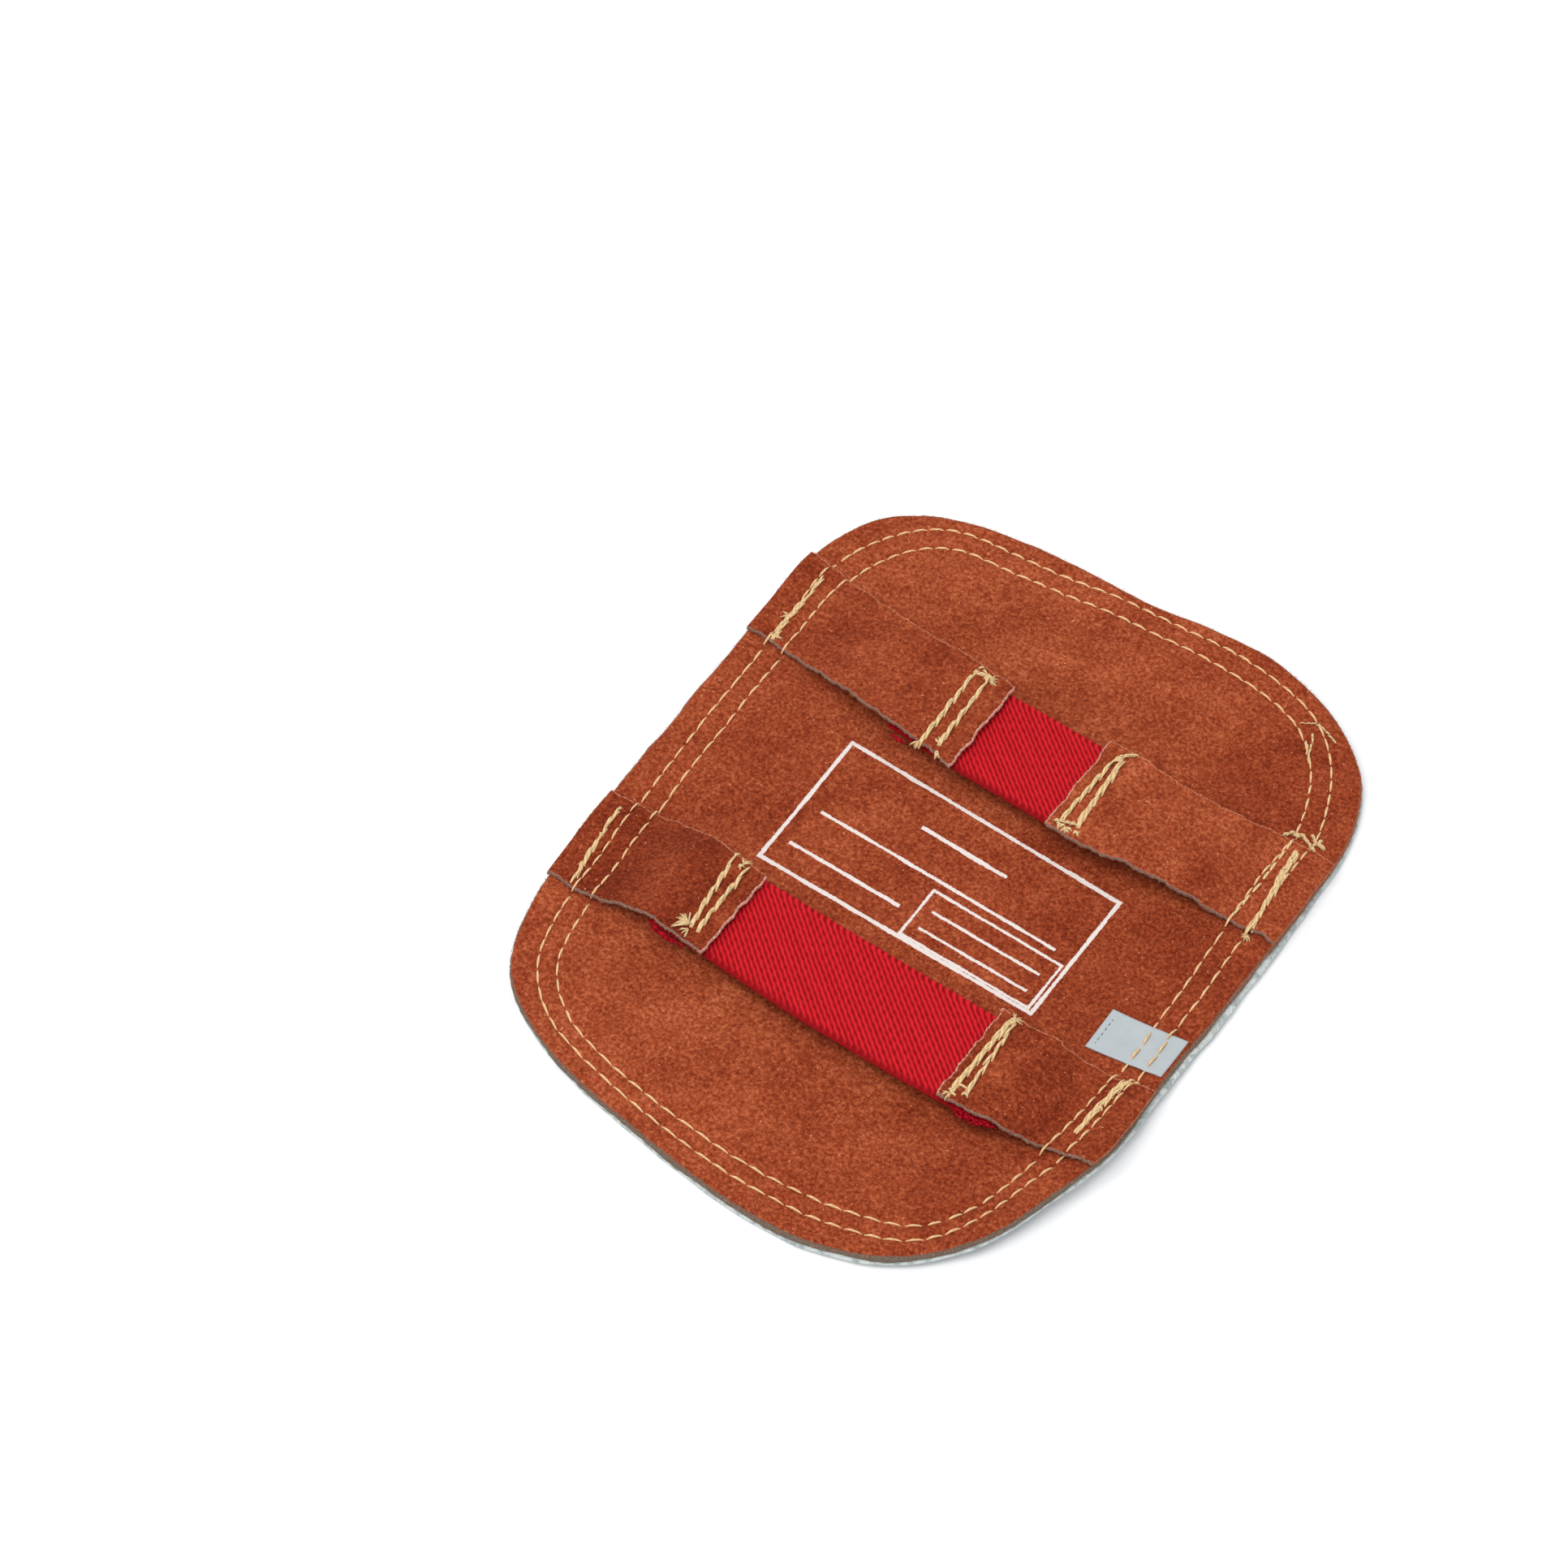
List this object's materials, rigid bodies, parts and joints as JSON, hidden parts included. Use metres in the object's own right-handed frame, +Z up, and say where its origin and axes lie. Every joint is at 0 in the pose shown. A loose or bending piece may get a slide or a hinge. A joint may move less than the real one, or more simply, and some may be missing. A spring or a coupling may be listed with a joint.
{
  "type": "aluminized welding hand shield",
  "caption": "Oval heat shield for the back of a welding glove: an aluminized cloth face, a stitched suede backing and two hand straps of suede tabs and red elastic.",
  "frame": {"origin": "middle of the pad's outline, on the surface that the aluminized face lies on", "axes": "+X along the straps, +Y along the pad towards the fingers, +Z up, away from the aluminized face, through the suede to the hand"},
  "size_m": [0.167, 0.2162, 0.0118],
  "materials": {
    "suede": "rust orange suede split, mottled nap",
    "aluminized_cloth": "bright wrinkled foil bonded to twill cloth",
    "red_elastic": "ribbed woven elastic, saturated red",
    "white_tape": "plain pale satin tape",
    "sewing_thread": "straw coloured heavy thread"
  },
  "bodies": {
    "root": {"aluminized_face": "aluminized_cloth", "leather_backing": "suede", "upper_left_tab": "suede", "upper_right_tab": "suede", "lower_left_tab": "suede", "lower_right_tab": "suede", "upper_elastic": "red_elastic", "lower_elastic": "red_elastic", "seam_label": "white_tape"}
  },
  "joints": []
}
